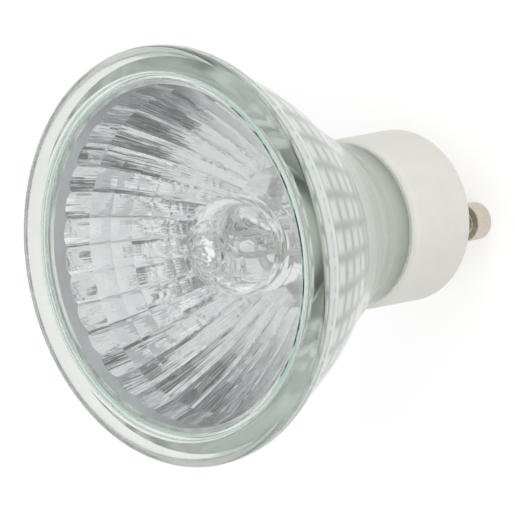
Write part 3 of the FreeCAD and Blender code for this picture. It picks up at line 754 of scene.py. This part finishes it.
def tile_rows():
    rings = [HOLE_RADIUS + (MIRROR_RADIUS - HOLE_RADIUS) * n / TILE_ROWS for n in range(TILE_ROWS + 1)]
    rows = []
    for lower, upper in zip(rings, rings[1:]):
        low, high = np.array((lower, mirror_height(lower))), np.array((upper, mirror_height(upper)))
        run = high - low
        inward = np.array((-run[1], run[0])) / np.linalg.norm(run)
        middle = (low + high) / 2 + inward * TILE_CROWN * np.linalg.norm(run)
        rows += [(*low, 1, FILM, 1), (*middle, 1, FILM, 0)]
    return rows + [(MIRROR_RADIUS, MIRROR_EDGE, 1, FILM, 1)]


inside = tile_rows()
print("mirror rows:", len(inside))

# %% Last row of flutes, band and throat
FLUTE_END, BAND_START, THROAT_DROP = 1.5, 51.2, 3.4
band_radius = SEAT_INNER - BAND_SLOPE * (FACE - MIRROR_EDGE)
band_top = SEAT_INNER - BAND_SLOPE * (FACE - SEAT)
inside += [
    (MIRROR_RADIUS + EDGE_SLOPE * FLUTE_END, MIRROR_EDGE + FLUTE_END, 1, FILM, 0),
    # The tree works out where the scalloped line is, so this row's own place isn't used
    (band_radius, MIRROR_EDGE, 2, BAND, 1),
    (band_top, BAND_START, 0, BAND, 0),
    (band_top, SEAT, 0, BAND, 1),
]
throat = [(NECK_BORE, MIRROR_HOLE - THROAT_DROP, 0, BORE, 1), (NECK_BORE, PLUG_FOOT, 0, BORE, 1)]
print("band at", round(band_radius, 2), "mm from the axis")

# %% Turn the reflector
COLUMNS_PER_FLUTE = 30
reflector_shell = turn_piece(
    "reflector_shell", outside + recess + inside[::-1] + throat, FLUTES * COLUMNS_PER_FLUTE,
    pressed_glass, (mirror_film, band_film, bore_coat),
    Flutes=FLUTES, Ridges=8, Crown=0.0045, Squareness=4.0, Ridge_height=0.00008,
    Edge_radius=MIRROR_RADIUS * MM, Edge_height=MIRROR_EDGE * MM, Edge_slope=EDGE_SLOPE,
    Band_radius=band_radius * MM, Band_slope=BAND_SLOPE)

# %% [markdown]
# ## Front glass and its adhesive
# The front is a plain polished disc with a ground edge. It stands a hair above its ledge, as any two
# hard faces do, which keeps the two sheets of glass apart for the light as well. Clear adhesive fills
# the wedge round it. Both are turned, so their edges can be ground and rounded where light catches.

# %% Front glass
COVER_RADIUS, COVER_TOP, COVER_EDGE = 21.55, 53.85, 0.25
COVER_LIFT = 0.015
front_rows = outline((
    (0.0, SEAT + COVER_LIFT),
    (COVER_RADIUS - COVER_EDGE, SEAT + COVER_LIFT, 0.1),
    (COVER_RADIUS, SEAT + COVER_EDGE, 0.1),
    (COVER_RADIUS, COVER_TOP - COVER_EDGE, 0.1),
    (COVER_RADIUS - COVER_EDGE, COVER_TOP, 0.1),
    (0.0, COVER_TOP),
), steps=3)
front_glass = turn_piece("front_glass", front_rows, 180, front_glass_finish)

# %% Adhesive
seal_rows = outline((
    (COVER_RADIUS + 0.02, SEAT + 0.3),
    (RECESS_FLOOR + 0.06, SEAT + 0.3),
    (22.19, COVER_TOP - 0.02, 0.05),
    (21.9, COVER_TOP - 0.16, 0.2),
    (COVER_RADIUS + 0.02, COVER_TOP - 0.06),
), steps=3, closed=True)
seal_bead = turn_piece("seal_bead", seal_rows, 180, adhesive_finish)

# %% [markdown]
# ## Ceramic cap
# The cap is a fired ceramic cup with a soft lip and a bevelled back. Two holes in its floor take the
# pins, and they are filled by them, so the visible cup is one turned shape with its real wall.

# %% Cap
CAP_BASE, CAP_TOP, CAP_FLOOR = 7.2, 20.6, 12.5
CAP_RADIUS, CAP_BORE, CAP_BEVEL = 11.25, 9.8, 2.9
cap_rows = outline((
    (0.0, CAP_BASE),
    (CAP_RADIUS - CAP_BEVEL, CAP_BASE, 0.5),
    (CAP_RADIUS, CAP_BASE + CAP_BEVEL, 0.9),
    (CAP_RADIUS - 0.2, CAP_TOP, 1.08),
    (CAP_BORE, CAP_TOP, 0.1),
    (CAP_BORE, CAP_FLOOR, 0.6),
    (0.0, CAP_FLOOR),
), steps=6)
cap_shell = turn_piece("cap_shell", cap_rows, 192, ceramic_finish)

# %% [markdown]
# ## Contact pins
# Two turned pins with a wide head go through the cap's floor. The head's end is rounded and has a
# countersink, which the weld fills round the lead. A pin is one closed section, drilled through, and
# the turning tree sets it on its own axis.

# %% Pins
PIN_HEAD, PIN_SHANK, PIN_FLANGE = 2.5, 1.5, 2.1
HEAD_TOP, PIN_TOP = 3.2, 13.0
pin_rows = outline((
    (1.1, 0.02, 0.08),
    (PIN_HEAD, 0.0, 0.7),
    (PIN_HEAD, HEAD_TOP, 0.22),
    (PIN_SHANK, HEAD_TOP, 0.12),
    (PIN_SHANK, CAP_FLOOR),
    (PIN_FLANGE, CAP_FLOOR),
    (PIN_FLANGE, PIN_TOP, 0.1),
    (0.6, PIN_TOP),
    (0.6, 0.9),
), steps=5, closed=True)
pins = {
    side: turn_piece(f"turned_pin_{side}", pin_rows, 64, pin_finishes[side],
                     Axis_at=sign * PIN_X * MM)
    for side, sign in PIN_SIGNS.items()
}

# %% [markdown]
# ## Quartz capsule
# The burner is a quartz tube: a dome with a sealed tip above, and a flat pressed foot below. It was
# shaped in a flame, so the dome carries rings and a stray ridge from the melt, and the tip is rough.
# It is lofted ring by ring as two closed skins, the outside and the gas space. A loft suits it, because
# every ring may have its own form, from round to nearly square.

# %% Loft rings into a skin
def close_rings(rings):
    # Quads between rings of the same count, and a fan at each end
    count = len(rings[0])
    points = np.concatenate(rings)
    faces = []
    for r in range(len(rings) - 1):
        a, b = r * count, (r + 1) * count
        faces += [(a + i, a + (i + 1) % count, b + (i + 1) % count, b + i) for i in range(count)]
    top = (len(rings) - 1) * count
    faces += [(len(points), (i + 1) % count, i) for i in range(count)]
    faces += [(len(points) + 1, top + i, top + (i + 1) % count) for i in range(count)]
    ends = np.array((rings[0].mean(0), rings[-1].mean(0)))
    return np.concatenate((points, ends)), faces


def smooth_step(low, high, value):
    t = np.clip((value - low) / (high - low), 0.0, 1.0)
    return t * t * (3 - 2 * t)


CAPSULE_RADIUS, CAPSULE_FOOT, PINCH_TOP, DOME_CENTRE, TIP_TOP = 6.3, 17.5, 33.5, 40.8, 48.4
CAPSULE_COLUMNS = 240
around = 2 * np.pi * np.arange(CAPSULE_COLUMNS) / CAPSULE_COLUMNS
print("burner:", CAPSULE_FOOT, "to", TIP_TOP, "mm up")

# %% The dome's rings, ridge and tip
RING_CENTRE = np.array((0.9, -0.6))
RING_HEIGHT, RING_SPACING = 0.065, 0.95
RIDGE_HEIGHT, RIDGE_WIDTH = 0.2, 0.24
MOUND_HEIGHT, CRATER_DEPTH = 1.15, 0.45
RIDGE_LINE = np.array((
    (-3.4, 0.6), (-2.6, 2.2), (-1.0, 3.2), (0.9, 2.9), (2.3, 1.7), (2.6, 0.2), (1.9, -1.3),
    (1.6, -2.6), (2.2, -3.8), (3.4, -4.2),
))


def distance_to_line(points, line):
    best = np.full(len(points), 1e9)
    for a, b in zip(line, line[1:]):
        t = np.clip(((points - a) @ (b - a)) / ((b - a) @ (b - a)), 0, 1)
        best = np.minimum(best, np.linalg.norm(points - a - t[:, None] * (b - a), axis=1))
    return best


def dome_relief(x, y):
    # How far the flame left the dome's skin from a clean ball, in millimetres
    flat_place = np.stack((x, y), axis=1)
    away = np.linalg.norm(flat_place - RING_CENTRE, axis=1)
    where = smooth_step(0.8, 1.8, away) * (1 - smooth_step(3.6, 4.6, away))
    rings = RING_HEIGHT * np.cos(2 * np.pi * away / RING_SPACING) * where
    ridge = RIDGE_HEIGHT * np.exp(-(distance_to_line(flat_place, RIDGE_LINE) / RIDGE_WIDTH) ** 2)
    return rings + ridge


def tip_relief(x, y):
    # The sealed tip: a rough mound with a crater
    r = np.hypot(x, y)
    mound = MOUND_HEIGHT * (1 - smooth_step(0.7, 2.1, r))
    crater = -CRATER_DEPTH * (1 - smooth_step(0.15, 0.75, r))
    rough = np.array([noise.noise(Vector((a * 1.9, b * 1.9, 3.0))) for a, b in zip(x, y)])
    fine = np.array([noise.noise(Vector((a * 4.5, b * 4.5, 9.0))) for a, b in zip(x, y)])
    return mound + crater + (0.28 * rough + 0.12 * fine) * (1 - smooth_step(1.6, 2.4, r))


print("tip stands", round(float(tip_relief(np.zeros(1), np.zeros(1))[0]), 2), "mm out in its middle")

# %% The outer skin
SLAB_HALF, SLAB_SQUARENESS, SLAB_HOLLOW = 2.0, 3.2, 0.22
TUBE_WAVE = 0.02


def outer_ring(z):
    # Round in the tube, and pressed to a slab with thick edges in the foot
    press = 1 - float(smooth_step(PINCH_TOP - 0.4, PINCH_TOP + 3.9, z))
    power = 2 / (2 + SLAB_SQUARENESS * press)
    x = CAPSULE_RADIUS * np.sign(np.cos(around)) * np.abs(np.cos(around)) ** power
    half = CAPSULE_RADIUS + (SLAB_HALF - CAPSULE_RADIUS) * press
    y = half * np.sign(np.sin(around)) * np.abs(np.sin(around)) ** power
    flat = press * SLAB_HOLLOW * (1 - smooth_step(3.9, 4.9, np.abs(x)))
    y = y * (1 - flat)
    wave = TUBE_WAVE * np.sin(z * 4.2 + 2 * around) * (1 - press)
    return np.stack((x * (1 + wave / 6), y * (1 + wave / 6), np.full_like(x, z)), axis=1)


foot_levels = np.concatenate((
    np.linspace(CAPSULE_FOOT, PINCH_TOP - 1, 12), np.linspace(PINCH_TOP - 0.6, PINCH_TOP + 4.3, 26),
    np.linspace(PINCH_TOP + 4.6, DOME_CENTRE, 8)))
outer = [outer_ring(z) for z in foot_levels]
# The dome starts this much lower, so that its marks don't make it larger
MELT_LOSS = 0.08
for tilt in np.linspace(0, math.pi / 2, 76)[1:-1]:
    ball = CAPSULE_RADIUS * math.cos(tilt)
    x, y = ball * np.cos(around), ball * np.sin(around)
    lift = dome_relief(x, y) - MELT_LOSS
    reach = (CAPSULE_RADIUS + lift) / CAPSULE_RADIUS
    z = DOME_CENTRE + CAPSULE_RADIUS * math.sin(tilt) * reach + tip_relief(x, y)
    outer.append(np.stack((x * reach, y * reach, np.minimum(z, TIP_TOP)), axis=1))
outer_points, outer_faces = close_rings(outer)
print("outer skin:", len(outer_faces), "faces")

# %% The gas space
GAS_RADIUS, GAS_FLOOR, GAS_CONE, GAS_TOP = 5.2, 36.2, 4.0, 46.0
# Its floor swells out of the pinch, and its top sags a little, under the tip most
gas = []
for step in np.linspace(0.02, 1, 22):
    grow = GAS_RADIUS * math.sqrt(1 - (1 - step) ** 2.1)
    z = GAS_FLOOR + GAS_CONE * step
    gas.append(np.stack((grow * np.cos(around), grow * np.sin(around) * (0.86 + 0.14 * step),
                         np.full_like(around, z)), axis=1))
for tilt in np.linspace(0, math.pi / 2, 44)[:-1]:
    ball = GAS_RADIUS * math.cos(tilt)
    x, y = ball * np.cos(around), ball * np.sin(around)
    sag = 1 - 0.03 * math.sin(3 * tilt)
    z = DOME_CENTRE + GAS_RADIUS * math.sin(tilt) * sag - 0.25 * np.exp(-(x ** 2 + y ** 2) / 2.5)
    gas.append(np.stack((x, y, np.minimum(z, GAS_TOP)), axis=1))
gas_points, gas_faces = close_rings(gas)
gas_faces = [tuple(i + len(outer_points) for i in face[::-1]) for face in gas_faces]
print("gas space:", len(gas_faces), "faces, turned inwards")

# %% Both skins as one piece
capsule_mesh = bpy.data.meshes.new("burner_quartz")
both_skins = (np.concatenate((outer_points, gas_points)) * MM).tolist()
capsule_mesh.from_pydata(both_skins, [], outer_faces + gas_faces)
capsule_mesh.materials.append(quartz_finish)
capsule_mesh.shade_smooth()
face_outwards(capsule_mesh)
burner_quartz = link_piece("burner_quartz", capsule_mesh)

# %% [markdown]
# ## Filament
# The filament is a fine coil that goes up one side, over the hook and down the other. Its line is a
# short curve, and a tree winds the wire round it. Wound as real wire, it glints turn by turn.

# %% The winding tree
winding, given, result = new_tree("wind_coil", "GeometryNodeTree", {
    "Line": "Geometry",
    "Turns": 40,
    "Points per turn": 10,
    "Coil radius": 0.0004,
    "Wire radius": 0.0001,
    "Finish": "Material",
}, {"Geometry": "Geometry"})
fine_line = place(winding, "GeometryNodeResampleCurve", {
    "Curve": given["Line"],
    "Count": calc(winding, "MULTIPLY", given["Turns"], given["Points per turn"]),
}).outputs[0]
way = place(winding, "GeometryNodeSplineParameter").outputs["Factor"]
turn_angle = calc(winding, "MULTIPLY", calc(winding, "MULTIPLY", way, given["Turns"]), 2 * math.pi)
side_way = place(winding, "ShaderNodeVectorMath", {
    0: place(winding, "GeometryNodeInputTangent").outputs[0], 1: (0.0, 1.0, 0.0),
}, operation="CROSS_PRODUCT").outputs[0]
sideways = place(winding, "ShaderNodeVectorMath", {
    0: side_way, "Scale": calc(winding, "MULTIPLY", calc(
        winding, "COSINE", turn_angle), given["Coil radius"])}, operation="SCALE").outputs[0]
forwards = place(winding, "ShaderNodeCombineXYZ", {
    "Y": calc(winding, "MULTIPLY", calc(winding, "SINE", turn_angle), given["Coil radius"])}).outputs[0]
offset = place(winding, "ShaderNodeVectorMath", {
    0: sideways, 1: forwards}, operation="ADD").outputs[0]
coil_line = place(winding, "GeometryNodeSetPosition", {
    "Geometry": fine_line, "Offset": offset}).outputs[0]
wire_round = place(winding, "GeometryNodeCurvePrimitiveCircle", {
    "Resolution": 6, "Radius": given["Wire radius"]}).outputs[0]
wire_mesh = place(winding, "GeometryNodeCurveToMesh", {
    "Curve": coil_line, "Profile Curve": wire_round, "Fill Caps": True}).outputs[0]
soft = place(winding, "GeometryNodeSetShadeSmooth", {0: wire_mesh, "Shade Smooth": True}).outputs[0]
real_wire = place(winding, "GeometryNodeRealizeInstances", {"Geometry": soft}).outputs[0]
wound = place(winding, "GeometryNodeSetMaterial", {
    "Geometry": real_wire, "Material": given["Finish"]}).outputs[0]
winding.links.new(wound, result["Geometry"])
print("winding tree:", len(winding.nodes), "nodes")

# %% Wind the filament
LEAD_X, COIL_BEND, COIL_FOOT = 3.0, 40.5, 38.9
bend_points = [(LEAD_X * math.cos(a), COIL_BEND + LEAD_X * math.sin(a))
               for a in np.linspace(0, math.pi, 25)]
coil_route = [(LEAD_X, COIL_FOOT), *bend_points, (-LEAD_X, COIL_FOOT)]
coil_curve = bpy.data.curves.new("coil_line", "CURVE")
coil_curve.dimensions = "3D"
spline = coil_curve.splines.new("POLY")
spline.points.add(len(coil_route) - 1)
for point, (x, z) in zip(spline.points, coil_route):
    point.co = (x * MM, 0.0, z * MM, 1.0)
coil_mesh = run_tree(link_piece("coil_line", coil_curve), "filament_coil", winding, {
    "Turns": 44, "Points per turn": 12, "Coil radius": 0.34 * MM, "Wire radius": 0.07 * MM,
    "Finish": tungsten_finish})
face_outwards(coil_mesh)
filament_coil = link_piece("filament_coil", coil_mesh)

# %% [markdown]
# ## What stays as it was built
# The leads, foils, hook, fuse wire, welds and cements are already right as solids. They keep their
# meshes and only take a finish.

# %% Finish the remaining nodes
NODE_FINISHES = {
    # The burner's cement takes the lighter copy, with painted light
    "capsule_cement": cement_with_painted_light,
    "cap_cement": cement_finish,
    "filament_support": tungsten_finish,
    "fuse_wire": wire_finish,
}
for side in PIN_SIGNS:
    NODE_FINISHES.update({
        f"inner_lead_{side}": tungsten_finish,
        f"seal_foil_{side}": foil_finish,
        f"outer_lead_{side}": wire_finish,
        f"pin_weld_{side}": weld_finish,
    })
for node, finish in NODE_FINISHES.items():
    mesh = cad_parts[node].data
    mesh.materials.clear()
    mesh.materials.append(finish)
    print(node, "takes", finish.name)

# %% [markdown]
# ## Pieces and bodies
# The lamp is one rigid body. Each new piece rides on it, says which solid it stands for, and names the
# slot of the record that its finish belongs to.

# %% Ride and replace
NEW_PIECES = (
    (reflector_shell, "reflector", "reflector_glass"),
    (front_glass, "cover_glass", "cover_glass"),
    (seal_bead, "cover_seal", "adhesive"),
    (cap_shell, "ceramic_cap", "ceramic"),
    (pins["left"], "contact_pin_left", "pin_metal"),
    (pins["right"], "contact_pin_right", "pin_metal"),
    (burner_quartz, "quartz_capsule", "quartz"),
    (filament_coil, "filament", "tungsten"),
)
for piece, node, slot in NEW_PIECES:
    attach(piece, "root")
    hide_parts(node)
print("new pieces:", len(NEW_PIECES), "kept nodes:", len(NODE_FINISHES))

# %% [markdown]
# ## Floor, lamps and sky
# The picture has a pure white ground. The floor is a pale matt sheet that also glows a little to the
# camera, to mirrors and through glass, so it stays white and still keeps a soft shadow.

# %% What sees the white ground
def sees_ground(tree):
    # 1 for the camera's own rays and for those in mirrors and glass
    paths = place(tree, "ShaderNodeLightPath").outputs
    return calc(tree, "MAXIMUM", paths["Is Camera Ray"], calc(
        tree, "MAXIMUM", paths["Is Glossy Ray"], paths["Is Transmission Ray"]))


def bare_material(name):
    # A material with no surface yet
    material = bpy.data.materials.new(name)
    material.use_nodes = True
    material.node_tree.nodes.remove(material.node_tree.nodes["Principled BSDF"])
    return material, material.node_tree, material.node_tree.nodes["Material Output"].inputs["Surface"]


# %% Floor
FLOOR_RADIUS, FLOOR_CORNERS = 3.0, 96
floor_mesh = bpy.data.meshes.new("floor")
floor_mesh.from_pydata([(FLOOR_RADIUS * math.cos(a), FLOOR_RADIUS * math.sin(a), 0.0)
                        for a in np.linspace(0, 2 * math.pi, FLOOR_CORNERS + 1)[:-1]],
                       [], [tuple(range(FLOOR_CORNERS))])
floor_material, tree, surface = bare_material("floor")
matt = place(tree, "ShaderNodeBsdfDiffuse", {"Color": (0.75, 0.75, 0.75, 1)}).outputs[0]
glow = place(tree, "ShaderNodeEmission", {
    "Color": (1, 1, 1, 1), "Strength": calc(tree, "MULTIPLY", sees_ground(tree), 0.4)}).outputs[0]
tree.links.new(place(tree, "ShaderNodeAddShader", {0: matt, 1: glow}).outputs[0], surface)
floor_mesh.materials.append(floor_material)
floor = link_piece("floor", floor_mesh)
print("floor:", FLOOR_RADIUS, "m round the lamp")

# %% Sky
WORLD_LEVEL = 0.7
world = bpy.data.worlds.new("studio")
scene.world = world
world.use_nodes = True
tree = world.node_tree
level = calc(tree, "MULTIPLY_ADD", sees_ground(tree), 1.0 - WORLD_LEVEL, WORLD_LEVEL)
sky = tree.nodes["Background"]
sky.inputs["Color"].default_value = (1, 1, 1, 1)
tree.links.new(level, sky.inputs["Strength"])
print("the sky lights the lamp at", WORLD_LEVEL, "and looks white")

# %% [markdown]
# A mirror is only as good as what it mirrors. Grey and bright cards hang round the camera, as in a
# studio, and show only in mirrors and through glass. A card is given by its corners as seen from the
# lamp: degrees off the upright axis, split along X and Y.

# %% Cards
CARD_DISTANCE = 0.6
CARD_CENTRE = Vector((0.0, 0.0, 0.045))


def add_card(name, corners, colour, strength):
    points = []
    for across, along in corners:
        off = math.radians(math.hypot(across, along))
        turn = math.atan2(along, across)
        points.append(CARD_CENTRE + CARD_DISTANCE * Vector((
            math.sin(off) * math.cos(turn), math.sin(off) * math.sin(turn), math.cos(off))))
    mesh = bpy.data.meshes.new(name)
    mesh.from_pydata(points, [], [tuple(range(len(points)))])
    material, tree, surface = bare_material(name)
    tree.links.new(place(tree, "ShaderNodeEmission", {
        "Color": (*colour, 1), "Strength": strength}).outputs[0], surface)
    mesh.materials.append(material)
    card = link_piece(name, mesh)
    card.visible_camera = False
    card.visible_diffuse = False
    card.visible_shadow = False


CARDS = {
    "dark_side": ((-14, 46), (-10, 54), (-3, 53), (-2, 46), (-8, 42)),
    "dark_high": ((3, 37), (10, 47), (8, 60), (24, 62), (33, 60), (30, 48), (24, 38), (20, 42),
                  (12, 37)),
    "dark_corner": ((30, 40), (28, 48), (40, 50), (54, 48), (60, 42), (62, 28), (55, 26), (52, 36)),
    "dark_middle": ((18, 22), (24, 32), (34, 38), (46, 32), (46, 16), (42, 12), (34, 14), (28, 24)),
    "dark_low": ((44, 10), (62, 14), (62, -6), (68, -18), (60, -32), (46, -30), (48, -10), (42, 0)),
    "bright_a": ((-42, 15), (-22, 22), (-18, 42), (-38, 45)),
    "bright_b": ((-80, 10), (-64, 14), (-60, 45), (-50, 62), (-62, 62)),
}
CARD_LIGHT = {"dark": ((0.96, 1.0, 0.99), 0.07), "bright": ((1, 1, 1), 1.35)}
for name, corners in CARDS.items():
    add_card(f"card_{name}", corners, *CARD_LIGHT[name.split("_")[0]])
print("cards:", len(CARDS))

# %% [markdown]
# Two large softboxes light the object, one from above as the picture has it, and one from the camera's
# side. Mirrors and glass don't show them, so the bowl reflects only the cards, the sky and the floor.

# %% Lamps
LAMP_TARGET = Vector((0, 0, 35 * MM))


def add_softbox(name, towards, distance, size, strength):
    # A square lamp that faces the object from the given direction; strength is its own brightness
    lamp_data = bpy.data.lights.new(name, "AREA")
    lamp_data.size = size * MM
    lamp_data.energy = strength * math.pi * (size * MM) ** 2
    lamp = bpy.data.objects.new(name, lamp_data)
    scene.collection.objects.link(lamp)
    way = Vector(towards).normalized()
    lamp.location = way * distance * MM + LAMP_TARGET
    lamp.rotation_mode = "QUATERNION"
    lamp.rotation_quaternion = way.to_track_quat("Z", "Y")
    lamp.visible_glossy = False
    lamp.visible_transmission = False
    print(name, round(lamp_data.energy, 2), "W")


for name, towards in (("softbox_high", (0.1, 0.95, 0.35)), ("softbox_front", (0.85, 0.1, 0.5))):
    add_softbox(name, towards, distance=700, size=500, strength=1.6)

# %% [markdown]
# The front glass guides light sideways to its ground edge, which is what makes that edge glow. Such
# light is reflected dozens of times on its way, so the bounce limits are high.

# %% View and light paths
scene.view_settings.view_transform = "Standard"
scene.cycles.max_bounces = 64
scene.cycles.transmission_bounces = 60
scene.cycles.glossy_bounces = 60
scene.cycles.diffuse_bounces = 8
scene.cycles.transparent_max_bounces = 16
print("bounces:", scene.cycles.max_bounces)
